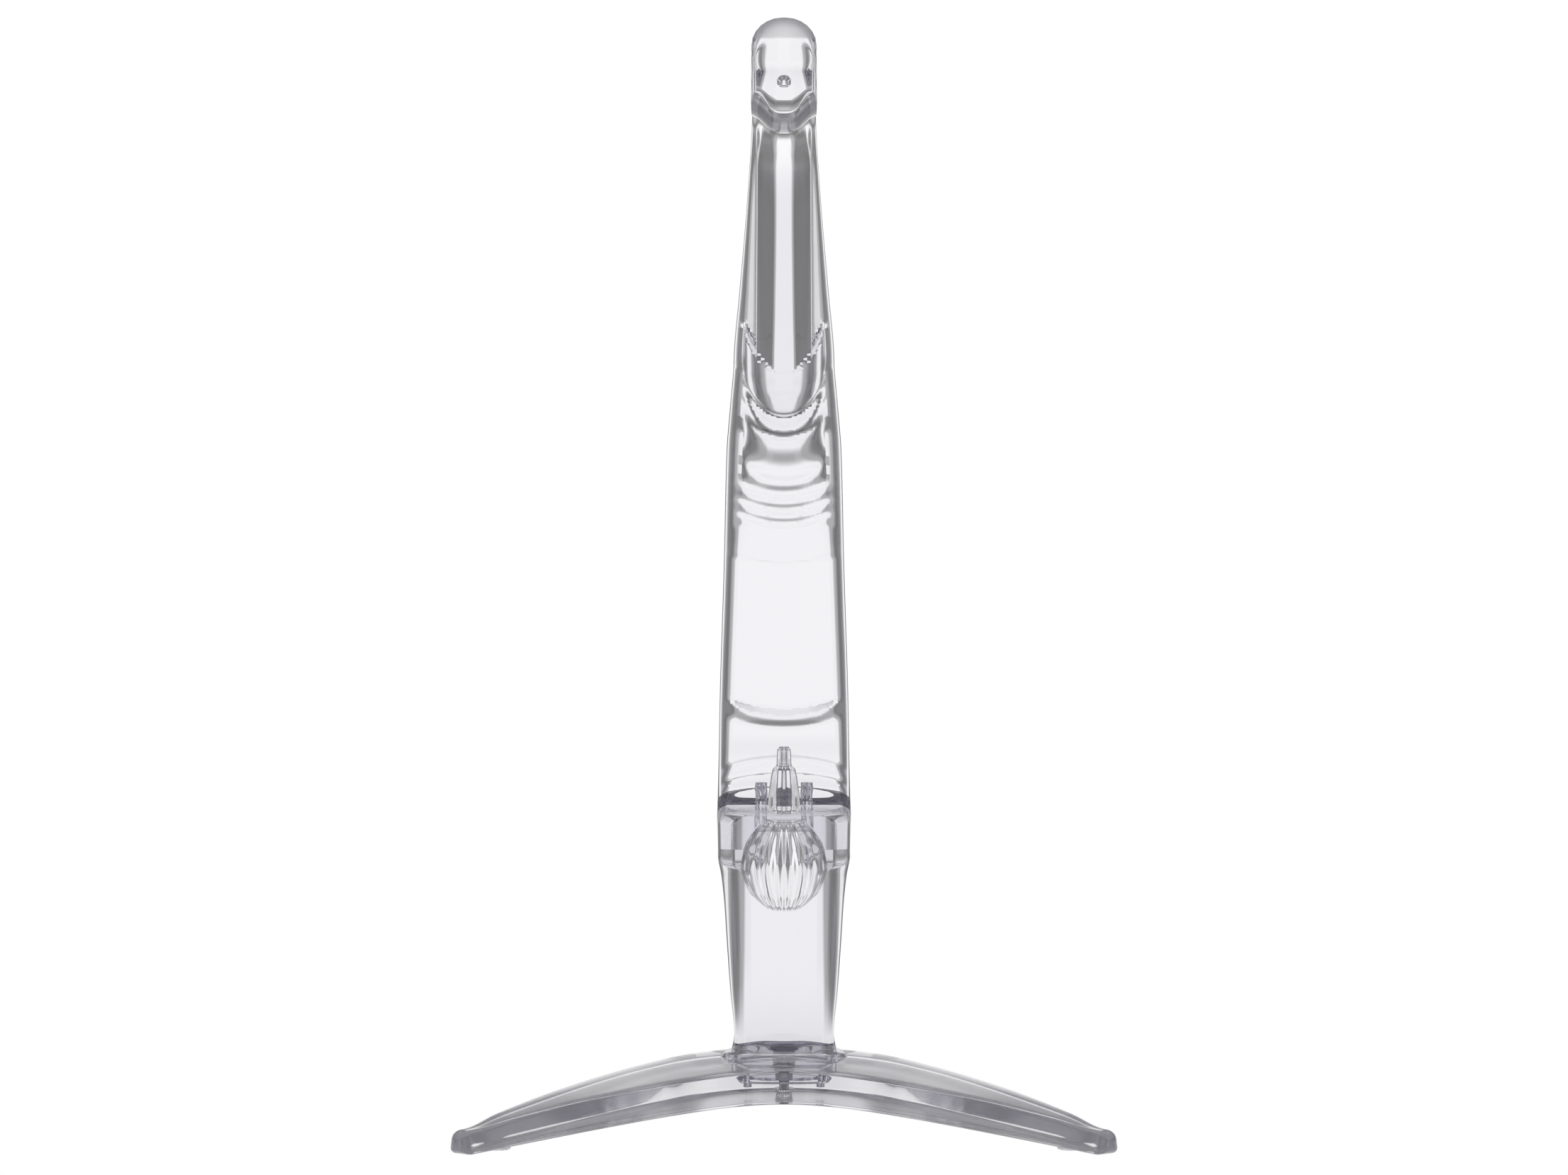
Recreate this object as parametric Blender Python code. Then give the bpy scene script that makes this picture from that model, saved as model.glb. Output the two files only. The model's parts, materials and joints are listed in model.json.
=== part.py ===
"""A clear moulded headphone stand, as its separate pieces.

The front of the stand faces -Y and it stands on z = 0. Sizes below are in millimetres, and
solid() turns them into metres.
"""

import math

import bmesh
import bpy
from mathutils import Vector
from mathutils.geometry import interpolate_bezier

MM = 0.001
GAP = 0.3  # between two pieces that meet
CORNER_STEPS = 4  # points on each rounded corner of a section
ROUND_SIDES = 24  # flat sides of each pin, pad and hole
ROUNDNESS = 0.5523  # how far a corner curve's handles reach, which makes a right angle a quarter circle

# Base: a boomerang whose inner edge is a hyperbola in plan.
LEG_TIP_X = 71.8
INNER_EDGE_Y = 25.4
LEG_SPLAY = 1.5  # how far a leg runs forward for each millimetre that it runs sideways
LEG_BEND = 22.0  # how far from the middle the legs become straight
BASE_DEPTH = 30.0
TIP_DEPTH = 6.4
TIP_NOSE = 3.8
PAD_STAND = 0.8  # the base's underside above the floor
BASE_RINGS = 30

# Stem: the post between the base and the spine.
STEM_Y = 45.0
STEM_DEPTH = 16.0
BLOCK_WIDTH = 33.0
WINDOW_HALF = 8.8  # half the width of the stem's flat front, at every height
BLOCK_BOTTOM = 4.5
BLOCK_TOP = 11.9
BLOCK_BEVEL = 1.0
POCKET_CORNER = 4.0

# Spine: its middle line in side view, from the shelf's front end round to the arm's tip.
SHELF_FRONT_Y = 11.6
SHELF_Z = 70.0
SHELF_LENGTH = 14.0
BEND_RADIUS = 28.0
SLAB_LENGTH = 42.0
LEAN_RADIUS = 130.0
LEAN_DEGREES = 24.0
RIB_LENGTH = 54.0
SHOULDER_RADIUS = 24.0
ARM_LENGTH = 18.0
LIP_RADIUS = 40.0
LIP_DEGREES = 18.0
LIP_LENGTH = 8.0
SLAB_HALF = 5.5  # half the slab's thickness
BEND_Z = SHELF_Z + BEND_RADIUS
LEAN_Z = BEND_Z + SLAB_LENGTH
SEAT_Z = 75.0  # where the spine is cut flat to sit on the stem
SEAT_FRONT_Y = STEM_Y - STEM_DEPTH / 2 - GAP
SPINE_RINGS = 110
RIB_WALL = 0.72  # share of the rib's height that is upright wall, below its sloped edge
TIP_ROUND = 5.8  # how far back from the arm's end its top starts to round off
TIP_DROP = 8.6  # how far the top comes down there
TIP_INSET = 1.1  # how far its other faces come in there
FLANGE_TAPER = 0.25  # how far a flange's front falls back for each millimetre towards its edge

# Fasteners and pads.
DOWEL_X = 6.0
DOWEL_RADIUS = 1.6
DOWEL_BOTTOM = 62.0
DOWEL_TOP = 82.0
PIN_X = 13.5
PIN_RADIUS = 1.5
PIN_BOTTOM = 2.7
PIN_TOP = 9.0
SCREW_RADIUS = 1.8
SCREW_TOP = 8.6
HEAD_RADIUS = 3.0
HEAD_BOTTOM = 0.4
HEAD_TOP = 1.7
DRIVE_RADIUS = 1.4  # of the hexagonal hole in the screw's head
DRIVE_DEPTH = 0.8
WASHER_RADIUS = 3.6
WASHER_TOP = 2.5
INSERT_RADIUS = 3.4  # of the hexagon's corners
INSERT_BOTTOM = 5.0
INSERT_TOP = 8.0
PAD_TOP = 1.4
TIP_PAD_RADIUS = 2.8
TIP_PAD_PLACE = (64.0, 0.5)  # where along the inner edge, and what share of the leg's depth behind it
HEEL_PAD_RADIUS = 4.0
HEEL_PAD_PLACE = (9.0, 0.79)

# Peg and fin.
PEG_FRONT_Y = -10.0
PEG_Z = 64.0
SPIGOT_Z = 67.2
SPIGOT_RADIUS = 3.2
SPIGOT_LENGTH = 9.0
SPIGOT_ROOT = 4.0  # how far the spigot starts inside the peg
FIN_Y = 18.0
FIN_TOP = 92.8
TENON_DEPTH = 3.0
TENON_WIDTH = 4.0
TENON_LENGTH = 5.0
TENON_HEIGHT = 8.0

CLEAR = (0.93, 0.93, 0.96, 1.0)
SOFT_CLEAR = (0.88, 0.88, 0.92, 1.0)
STEEL = (0.62, 0.62, 0.64, 1.0)


def clear_scene():
    for old in list(bpy.data.objects):
        bpy.data.objects.remove(old, do_unlink=True)


def material(name, colour, roughness, metallic, transmission):
    made = bpy.data.materials.new(name)
    made.use_nodes = True
    shader = made.node_tree.nodes["Principled BSDF"]
    shader.inputs["Base Color"].default_value = colour
    shader.inputs["Roughness"].default_value = roughness
    shader.inputs["Metallic"].default_value = metallic
    shader.inputs["Transmission Weight"].default_value = transmission
    return made


def clear_plastic(name):
    return material(name + "_clear", CLEAR, 0.03, 0.0, 1.0)


def soft_plastic(name):
    return material(name + "_soft", SOFT_CLEAR, 0.35, 0.0, 0.6)


def steel(name):
    return material(name + "_steel", STEEL, 0.3, 1.0, 0.0)


def finish(name, bm, made_of, sharp_degrees=35):
    """Turns a bmesh in millimetres into a smooth-shaded object in metres."""
    bmesh.ops.recalc_face_normals(bm, faces=bm.faces)
    bmesh.ops.scale(bm, vec=(MM, MM, MM), verts=bm.verts)
    mesh = bpy.data.meshes.new(name)
    bm.to_mesh(mesh)
    bm.free()
    mesh.shade_smooth()
    mesh.set_sharp_from_angle(angle=math.radians(sharp_degrees))
    if made_of is not None:
        mesh.materials.append(made_of)
    made = bpy.data.objects.new(name, mesh)
    bpy.context.scene.collection.objects.link(made)
    return made


def solid(name, rings, made_of):
    """A closed solid through rings that all have the same number of points."""
    bm = bmesh.new()
    rows = [[bm.verts.new(point) for point in ring] for ring in rings]
    count = len(rows[0])
    for row, following in zip(rows, rows[1:]):
        for i in range(count):
            after = (i + 1) % count
            bm.faces.new((row[i], row[after], following[after], following[i]))
    bm.faces.new(rows[0])
    bm.faces.new(rows[-1])
    return finish(name, bm, made_of)


def cylinder(name, radius, centre, bottom, top, made_of=None, sides=ROUND_SIDES):
    """An upright round or many-sided solid about centre, an (x, y) place."""
    rings = []
    for z in (bottom, top):
        angles = [math.tau * (i + 0.5) / sides for i in range(sides)]
        rings.append(
            [(centre[0] + radius * math.cos(a), centre[1] + radius * math.sin(a), z) for a in angles]
        )
    return solid(name, rings, made_of)


def join(target, other, operation):
    """Adds or cuts other, which is then only a helper."""
    step = target.modifiers.new(operation.lower() + "_" + other.name, "BOOLEAN")
    step.operation = operation
    step.solver = "EXACT"
    step.object = other
    other.hide_render = True
    other.display_type = "WIRE"


def cut(target, other):
    join(target, other, "DIFFERENCE")


def add(target, other):
    join(target, other, "UNION")


def fitted_cuts(corners):
    """Each corner's cut, made smaller where two cuts would meet on a short edge."""
    places = [Vector(corner[:2]) for corner in corners]
    cuts = [corner[2] for corner in corners]
    count = len(corners)
    room = [
        0.98 * (places[(i + 1) % count] - places[i]).length / (cuts[i] + cuts[(i + 1) % count])
        for i in range(count)
    ]
    return [cuts[i] * min(1.0, room[i - 1], room[i]) for i in range(count)]


def rounded(corners, steps=CORNER_STEPS):
    """Points round a polygon of (across, along, cut) corners. Each corner becomes a curve that
    starts and ends on its two edges, that cut away from it."""
    points = []
    cuts = fitted_cuts(corners)
    for index, (across, along, _) in enumerate(corners):
        corner = Vector((across, along))
        before = Vector(corners[index - 1][:2]) - corner
        after = Vector(corners[(index + 1) % len(corners)][:2]) - corner
        start = corner + before.normalized() * cuts[index]
        end = corner + after.normalized() * cuts[index]
        handles = start.lerp(corner, ROUNDNESS), end.lerp(corner, ROUNDNESS)
        points += interpolate_bezier(start, *handles, end, steps)
    return points


def mirrored(half):
    """The whole polygon from the corners of its right half, listed from bottom to top."""
    return half + [(-across, along, corner_cut) for across, along, corner_cut in reversed(half)]


def smooth(value, low, high):
    """Rises softly from 0 at low to 1 at high."""
    t = min(max((value - low) / (high - low), 0.0), 1.0)
    return t * t * (3 - 2 * t)


def slope(stations, places, index, column):
    """Slope of one size at a station: none at the ends and where the size turns back."""
    if index in (0, len(places) - 1):
        return 0.0
    low, here, high = (stations[place][column] for place in places[index - 1 : index + 2])
    before = (here - low) / (places[index] - places[index - 1])
    after = (high - here) / (places[index + 1] - places[index])
    if before * after <= 0:
        return 0.0
    return 2 * before * after / (before + after)


def blend(stations, at):
    """The sizes at a place, on smooth curves that go through every station and never overshoot."""
    places = sorted(stations)
    at = min(max(at, places[0]), places[-1])
    last = next(i for i in range(1, len(places)) if at <= places[i])
    span = places[last] - places[last - 1]
    t = (at - places[last - 1]) / span
    rise = t * t * (3 - 2 * t)
    leave = t * (1 - t) ** 2 * span
    arrive = t * t * (t - 1) * span
    sizes = []
    for column in range(len(stations[places[0]])):
        low, high = (stations[places[i]][column] for i in (last - 1, last))
        bends = leave * slope(stations, places, last - 1, column)
        bends += arrive * slope(stations, places, last, column)
        sizes.append(low + (high - low) * rise + bends)
    return sizes


# Base ------------------------------------------------------------------------------------------

# Distance from the middle: depth of the section, height of its front edge, height of its back edge.
LEG_SECTIONS = {
    0: (BASE_DEPTH, 9.6, 12.2),
    22: (22.0, 9.4, 11.4),
    45: (14.0, 8.8, 10.2),
    62: (9.2, 7.4, 8.2),
    LEG_TIP_X: (TIP_DEPTH, 6.2, 6.6),
}


def inner_edge(x):
    """The point of the base's inner edge at x, and the direction across the leg there."""
    root = math.hypot(x, LEG_BEND)
    place = Vector((x, INNER_EDGE_Y - LEG_SPLAY * (root - LEG_BEND), 0))
    return place, Vector((LEG_SPLAY * x / root, 1, 0)).normalized()


def leg_section(x, shrink=1.0):
    """The base's outline across the leg at x, shrunk about its middle."""
    depth, front, back = blend(LEG_SECTIONS, abs(x))
    middle = (PAD_STAND + front) / 2
    outline = rounded(
        [
            (0, PAD_STAND, 1.2),
            (depth, PAD_STAND, 1.2),
            (depth - 0.8, back, 1.8),
            (1.2, front, 1.6),
        ]
    )
    place, across = inner_edge(x)
    return [
        place
        + across * (depth / 2 + (point.x - depth / 2) * shrink)
        + Vector((0, 0, middle + (point.y - middle) * shrink))
        for point in outline
    ]


def nose(side):
    """Rings that round off one leg's tip."""
    place, across = inner_edge(side * LEG_TIP_X)
    forward = Vector((side * across.y, -abs(across.x), 0))
    rings = []
    for degrees in (25, 50, 72):
        angle = math.radians(degrees)
        offset = forward * TIP_NOSE * math.sin(angle)
        rings.append([point + offset for point in leg_section(side * LEG_TIP_X, math.cos(angle))])
    return rings


def block_ring(z, width, depth, grow=0.0):
    """The outline of the stem's block at z, or with a gap all round, of the pocket for it."""
    half = [
        (width / 2 + grow, -depth / 2 - grow, POCKET_CORNER),
        (width / 2 + grow, depth / 2 + grow, POCKET_CORNER),
    ]
    return [Vector((p.x, STEM_Y + p.y, z)) for p in rounded(mirrored(half))]


def pad_places():
    """Each pad's name, place in plan and radius."""
    pads = []
    for side, word in ((-1, "left"), (1, "right")):
        for kind, place, radius in (
            ("tip_pad_", TIP_PAD_PLACE, TIP_PAD_RADIUS),
            ("heel_pad_", HEEL_PAD_PLACE, HEEL_PAD_RADIUS),
        ):
            x, share = place
            centre, across = inner_edge(side * x)
            centre += across * blend(LEG_SECTIONS, x)[0] * share
            pads.append((kind + word, (centre.x, centre.y), radius))
    return pads


def build_base():
    rings = list(reversed(nose(-1)))
    for i in range(BASE_RINGS + 1):
        rings.append(leg_section(LEG_TIP_X * (2 * i / BASE_RINGS - 1)))
    rings += nose(1)
    base = solid("base", rings, clear_plastic("base"))
    pocket = [block_ring(z, BLOCK_WIDTH, STEM_DEPTH, GAP) for z in (BLOCK_BOTTOM - GAP, 2 * BLOCK_TOP)]
    cut(base, solid("pocket_cutter", pocket, None))
    clearance = SCREW_RADIUS + GAP
    cut(base, cylinder("screw_hole_cutter", clearance, (0, STEM_Y), 0, 2 * BLOCK_BOTTOM))
    recess = WASHER_RADIUS + GAP
    cut(base, cylinder("head_recess_cutter", recess, (0, STEM_Y), 0, WASHER_TOP + GAP))
    for side in (-1, 1):
        place = (side * PIN_X, STEM_Y)
        cut(base, cylinder(f"pin_seat_cutter{side}", PIN_RADIUS + GAP, place, PIN_BOTTOM - GAP, BLOCK_TOP))
    for name, place, radius in pad_places():
        cut(base, cylinder(name + "_cutter", radius + GAP, place, 0, PAD_TOP + GAP))
    return base


def build_pads():
    for name, place, radius in pad_places():
        cylinder(name, radius, place, 0, PAD_TOP, soft_plastic(name))


# Stem ------------------------------------------------------------------------------------------

# Height: width of the stem there.
STEM_WIDTHS = {
    BLOCK_TOP: (27.4,),
    17.0: (25.9,),
    28.0: (27.9,),
    43.0: (30.1,),
    50.0: (31.0,),
    57.6: (32.6,),
    64.0: (34.7,),
    SEAT_Z: (34.7,),
}


STEM_RINGS = (BLOCK_TOP + 0.6, 15.5, 17, 22, 28, 36, 43, 50, 57.6, 61, 64, SEAT_Z - GAP)


def stem_ring(z):
    width = blend(STEM_WIDTHS, z)[0]
    round_off = min(width / 2 - WINDOW_HALF, STEM_DEPTH / 2 - 0.1)
    half = [
        (width / 2, -STEM_DEPTH / 2, round_off),
        (width / 2, STEM_DEPTH / 2, round_off),
    ]
    return [Vector((p.x, STEM_Y + p.y, z)) for p in rounded(mirrored(half))]


def build_stem():
    """The block that sits in the base's pocket, its bevelled top, and the post up to its seat."""
    bevel_start = BLOCK_TOP - BLOCK_BEVEL
    rings = [block_ring(z, BLOCK_WIDTH, STEM_DEPTH) for z in (BLOCK_BOTTOM, bevel_start)]
    rings.append(block_ring(BLOCK_TOP, BLOCK_WIDTH - 2 * BLOCK_BEVEL, STEM_DEPTH - 2 * BLOCK_BEVEL))
    rings += [stem_ring(z) for z in STEM_RINGS]
    stem = solid("stem", rings, clear_plastic("stem"))
    cut_dowel_holes(stem)
    nut = INSERT_RADIUS + GAP
    cut(stem, cylinder("insert_cutter", nut, (0, STEM_Y), 0, INSERT_TOP + GAP, sides=6))
    cut(stem, cylinder("stem_screw_cutter", SCREW_RADIUS + GAP, (0, STEM_Y), 0, SCREW_TOP + 1))
    for side in (-1, 1):
        place = (side * PIN_X, STEM_Y)
        cut(stem, cylinder(f"pin_hole_cutter{side}", PIN_RADIUS + GAP, place, 0, PIN_TOP + GAP))
    return stem


# Spine -----------------------------------------------------------------------------------------

def arc(radius, degrees):
    """A move round part of a circle: its length and its turn."""
    return abs(radius * math.radians(degrees)), math.radians(degrees)


# Each move along the spine: its length and its turn.
SPINE_MOVES = (
    (SHELF_LENGTH, 0.0),
    arc(BEND_RADIUS, 90),
    (SLAB_LENGTH, 0.0),
    arc(LEAN_RADIUS, LEAN_DEGREES),
    (RIB_LENGTH, 0.0),
    arc(SHOULDER_RADIUS, 90 - LEAN_DEGREES),
    (ARM_LENGTH, 0.0),
    arc(LIP_RADIUS, -LIP_DEGREES),
    (LIP_LENGTH, 0.0),
)


def reach(moves):
    """How far along the spine's middle line the first few moves go."""
    return sum(length for length, turn in SPINE_MOVES[:moves])


SHELF_END, BEND_END, SLAB_END, LEAN_END, RIB_END, SHOULDER_END = (reach(n) for n in range(1, 7))
SPINE_END = reach(len(SPINE_MOVES))


def spine_line(distance):
    """The middle line's point and its directions along the spine and towards the inside of its C."""
    y, z, heading = SHELF_FRONT_Y, SHELF_Z, 0.0
    for length, turn in SPINE_MOVES:
        part = min(distance, length)
        bend = turn * part / length
        if turn:
            radius = length / turn
            y += radius * (math.sin(heading + bend) - math.sin(heading))
            z += radius * (math.cos(heading) - math.cos(heading + bend))
        else:
            y += part * math.cos(heading)
            z += part * math.sin(heading)
        heading += bend
        distance -= part
        if distance <= 0:
            break
    along = Vector((0, math.cos(heading), math.sin(heading)))
    return Vector((0, y, z)), along, Vector((0, -math.sin(heading), math.cos(heading)))


def at_height(z):
    """The distance along the spine where its middle line passes height z, from the bend to the rib."""
    if z < BEND_Z:
        return BEND_END - BEND_RADIUS * math.asin((BEND_Z - z) / BEND_RADIUS)
    if z < LEAN_Z:
        return BEND_END + z - BEND_Z
    return SLAB_END + LEAN_RADIUS * math.asin((z - LEAN_Z) / LEAN_RADIUS)


# Place along the spine: width, back face, front of the side flanges, front of the rib, half the
# rib's width at its foot, half its front face's width, cut of the back corners and of the flanges'.
SPINE_SECTIONS = {
    0: (24.6, 8.5, 5.5, 5.5, 8.0, 5.0, 2.0, 3.0),
    SHELF_END: (33.6, 8.0, 5.5, 5.5, 12.0, 6.0, 2.0, 3.0),
    SHELF_END + 12: (34.6, 5.5, 5.5, 5.5, 12.0, 6.0, 1.6, 3.6),
    BEND_END: (34.0, 5.5, 5.5, 5.5, 12.0, 6.0, 1.5, 3.8),
    SLAB_END: (31.6, 5.5, 5.5, 5.5, 11.0, 5.0, 1.5, 4.0),
    LEAN_END - 26: (30.2, 5.5, 5.0, 5.0, 9.0, 4.0, 1.5, 4.2),
    LEAN_END - 14: (28.3, 5.5, 3.6, 3.6, 7.6, 3.3, 1.5, 3.8),
    LEAN_END - 3: (26.4, 5.5, 2.0, 2.0, 7.3, 2.7, 1.5, 3.4),
    LEAN_END: (26.2, 5.5, 1.6, 12.8, 7.3, 2.7, 1.5, 3.0),
    LEAN_END + 18: (23.0, 5.6, 1.4, 13.2, 7.2, 2.4, 1.5, 2.2),
    RIB_END - 10: (18.6, 6.0, 1.8, 13.2, 7.0, 2.1, 1.8, 1.2),
    RIB_END + 8: (16.4, 7.7, 3.6, 11.6, 6.9, 2.1, 4.2, 0.9),
    RIB_END + 16.4: (16.0, 13.2, 4.6, 9.6, 6.9, 2.4, 5.6, 0.8),
    SHOULDER_END: (15.7, 10.6, 5.4, 9.0, 6.9, 2.6, 7.7, 0.8),
    SPINE_END: (15.7, 10.6, 12.2, 17.6, 6.9, 2.8, 7.7, 0.8),
}

# The rib's end comes down to the slab in curved steps. One step crosses the slab's foot, and low
# ridges cross the bend.
# Height at the middle: rise, how much higher the step is at its ends, half its width.
STEPS = {
    73.0: (0.0, -3.0, 15.5),
    75.5: (1.7, -3.0, 15.5),
    77.5: (0.1, -3.2, 15.5),
    80.0: (1.7, -3.2, 15.5),
    82.0: (0.0, -3.4, 15.5),
    85.5: (1.5, -3.4, 15.5),
    87.5: (0.0, -3.4, 15.5),
    95.4: (0.0, 3.0, 14.5),
    99.4: (2.6, 3.0, 14.5),
    101.4: (0.0, 3.0, 14.5),
    139.0: (0.0, 2.0, 14.0),
    140.2: (0.6, 2.0, 14.0),
    148.8: (0.7, 2.0, 13.0),
    150.0: (0.1, 2.6, 11.6),
    152.2: (1.2, 2.8, 11.6),
    153.8: (0.2, 2.8, 11.6),
    156.2: (1.4, 2.8, 11.6),
    158.2: (0.3, 2.8, 11.6),
    161.4: (1.9, 3.2, 11.2),
    164.0: (1.2, 3.4, 10.8),
    173.4: (5.4, 4.0, 10.6),
    174.2: (5.0, 4.6, 10.6),
    177.0: (7.2, 5.4, 10.6),
    179.6: (6.0, 7.0, 10.6),
    182.0: (9.4, 8.4, 10.6),
    187.0: (11.2, 9.0, 10.6),
    193.2: (11.6, 9.0, 10.6),
    195.0: (0.0, 9.0, 10.6),
}
STEP_STATIONS = {at_height(z): sizes for z, sizes in STEPS.items()}


def relief(distance, across):
    """How far the steps stand out of the slab's front there."""
    rise, bow, half_width = blend(STEP_STATIONS, distance)
    off = across / half_width
    if abs(off) >= 1:
        return 0.0
    return math.sqrt(1 - off ** 4) * blend(STEP_STATIONS, distance - bow * off ** 2)[0]


def spine_corners(distance, inset, top_inset):
    """The right half of the section's corners, from its back to its rib: across, inwards and cut."""
    width, back, flange, front, foot, face, back_cut, flange_cut = blend(SPINE_SECTIONS, distance)
    side = width / 2 - inset
    foot = min(foot, width / 2 - flange_cut - 0.4)
    taper = min(front - flange, FLANGE_TAPER * (width / 2 - foot))
    on_arm = smooth(distance, RIB_END, SHOULDER_END)
    wall = RIB_WALL * (1 - on_arm) * (front - flange - taper)
    rib_foot = Vector((foot - inset, flange + taper - inset + 0.01))
    rib_front = Vector((face, front - inset + 0.03))
    wall_top = rib_foot + Vector((-0.2, wall + 0.01))
    wall_top = wall_top.lerp(rib_front, 0.5 * on_arm)
    squarer = 1 - 0.62 * top_inset / TIP_DROP
    return [
        (side, -back + inset + top_inset, back_cut * squarer),
        (side, flange - inset, flange_cut),
        (*rib_foot, 0.3 + 1.5 * on_arm),
        (*wall_top, 0.3 + 0.6 * on_arm),
        (*rib_front, 0.6 + 1.4 * on_arm),
    ]


def spine_ring(distance, inset=0.0, top_inset=0.0):
    """The spine's outline there, with the steps raised on the front of its slab."""
    corners = spine_corners(distance, inset, top_inset)
    flange = corners[1][1]
    place, along, inwards = spine_line(distance)
    ring = []
    for p in rounded(mirrored(corners)):
        lift = relief(distance, p.x)
        lifted = p.y + lift * smooth(p.y, 0.0, flange - 0.2)
        if p.y > flange:
            lifted = max(p.y, flange + lift)
        ring.append(place + Vector((p.x, 0, 0)) + inwards * lifted)
    return ring


def cut_dowel_holes(target):
    for side in (-1, 1):
        name = f"{target.name}_dowel_cutter{side}"
        place = (side * DOWEL_X, STEM_Y)
        cut(target, cylinder(name, DOWEL_RADIUS + GAP, place, DOWEL_BOTTOM - GAP, DOWEL_TOP + GAP))


def seat_cutter():
    """The room that the stem's top takes out of the spine's bend."""
    behind = STEM_Y + BLOCK_WIDTH
    below = SEAT_Z - BLOCK_WIDTH
    corners = ((SEAT_FRONT_Y, below), (behind, below), (behind, SEAT_Z), (SEAT_FRONT_Y, SEAT_Z))
    rings = [[(x, y, z) for y, z in corners] for x in (-BLOCK_WIDTH, BLOCK_WIDTH)]
    return solid("seat_cutter", rings, None)


def build_spine():
    """One solid from the shelf to the arm's tip, with its end rounded off and its seats cut."""
    body_end = SPINE_END - TIP_ROUND
    rings = [spine_ring(body_end * i / SPINE_RINGS) for i in range(SPINE_RINGS)]
    for degrees in (0, 30, 60, 90):
        angle = math.radians(degrees)
        left = 1 - math.cos(angle)
        rings.append(spine_ring(body_end + TIP_ROUND * math.sin(angle), TIP_INSET * left, TIP_DROP * left))
    spine = solid("spine", rings, clear_plastic("spine"))
    cut(spine, seat_cutter())
    cut_dowel_holes(spine)
    socket = spigot("socket_cutter", SPIGOT_RADIUS + GAP, SPIGOT_LENGTH + GAP, None)
    cut(spine, socket)
    cut(spine, fin_tenon("tenon_cutter", GAP))
    return spine


# Peg and fin -----------------------------------------------------------------------------------

def spigot(name, radius, length, made_of):
    rings = []
    for y in (SHELF_FRONT_Y - SPIGOT_ROOT, SHELF_FRONT_Y + length):
        angles = [math.tau * i / ROUND_SIDES for i in range(ROUND_SIDES)]
        rings.append([(radius * math.cos(a), y, SPIGOT_Z + radius * math.sin(a)) for a in angles])
    return solid(name, rings, made_of)


def peg_ring(y, scale):
    half = [
        (4.9, -11.0, 1.2),
        (8.7, -7.0, 1.6),
        (10.9, -0.8, 2.2),
        (9.0, 6.6, 1.8),
        (5.4, 11.0, 1.2),
    ]
    return [Vector((p.x * scale, y, PEG_Z + p.y * scale)) for p in rounded(mirrored(half))]


def build_peg():
    back = SHELF_FRONT_Y - GAP
    stations = (
        (PEG_FRONT_Y, 0.74),
        (PEG_FRONT_Y + 1.4, 0.86),
        (PEG_FRONT_Y + 4.4, 0.97),
        (PEG_FRONT_Y + 8.0, 1.0),
        (PEG_FRONT_Y + 13.0, 0.97),
        (back - 2.0, 0.93),
        (back, 0.9),
    )
    peg = solid("cable_peg", [peg_ring(y, scale) for y, scale in stations], clear_plastic("cable_peg"))
    add(peg, spigot("peg_spigot", SPIGOT_RADIUS, SPIGOT_LENGTH, None))
    return peg


def box_ring(width, depth, z, corner):
    half = [(width / 2, -depth / 2, corner), (width / 2, depth / 2, corner)]
    return [Vector((p.x, FIN_Y + p.y, z)) for p in rounded(mirrored(half))]


def fin_tenon(name, grow):
    """The tongue under the fin, or with a gap all round, the slot for it."""
    bottom = SHELF_Z + SLAB_HALF - TENON_DEPTH - grow
    width = TENON_WIDTH + 2 * grow
    length = TENON_LENGTH + 2 * grow
    return solid(name, [box_ring(width, length, z, 0.6) for z in (bottom, bottom + TENON_HEIGHT)], None)


def build_fin():
    foot = SHELF_Z + SLAB_HALF + GAP
    stations = (
        (foot, 8.0, 8.4),
        (foot + 1.6, 8.4, 8.8),
        (foot + 5.0, 7.4, 7.8),
        (foot + 9.0, 5.2, 6.4),
        (foot + 13.0, 3.9, 5.2),
        (FIN_TOP - 1.4, 3.5, 4.6),
        (FIN_TOP - 0.4, 2.7, 3.6),
        (FIN_TOP, 1.8, 2.6),
    )
    rings = [box_ring(width, depth, z, width * 0.3) for z, width, depth in stations]
    fin = solid("cable_fin", rings, clear_plastic("cable_fin"))
    add(fin, fin_tenon("fin_tenon", 0.0))
    return fin


# Fasteners -------------------------------------------------------------------------------------

def build_dowels_and_pins():
    for side, word in ((-1, "left"), (1, "right")):
        dowel = "spine_dowel_" + word
        cylinder(dowel, DOWEL_RADIUS, (side * DOWEL_X, STEM_Y), DOWEL_BOTTOM, DOWEL_TOP, clear_plastic(dowel))
        pin = "locating_pin_" + word
        cylinder(pin, PIN_RADIUS, (side * PIN_X, STEM_Y), PIN_BOTTOM, PIN_TOP, clear_plastic(pin))


def build_screw():
    screw = cylinder("base_screw", SCREW_RADIUS, (0, STEM_Y), HEAD_TOP - 0.6, SCREW_TOP, steel("base_screw"))
    add(screw, cylinder("screw_head", HEAD_RADIUS, (0, STEM_Y), HEAD_BOTTOM, HEAD_TOP))
    cut(screw, cylinder("drive_cutter", DRIVE_RADIUS, (0, STEM_Y), 0, HEAD_BOTTOM + DRIVE_DEPTH, sides=6))
    washer_bottom = HEAD_TOP + GAP
    washer = cylinder("screw_washer", WASHER_RADIUS, (0, STEM_Y), washer_bottom, WASHER_TOP, steel("washer"))
    cut(washer, cylinder("washer_cutter", SCREW_RADIUS + GAP, (0, STEM_Y), 0, SCREW_TOP))
    insert = cylinder(
        "threaded_insert", INSERT_RADIUS, (0, STEM_Y), INSERT_BOTTOM, INSERT_TOP, steel("insert"), sides=6
    )
    cut(insert, cylinder("insert_bore_cutter", SCREW_RADIUS + GAP, (0, STEM_Y), 0, SCREW_TOP))


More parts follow.
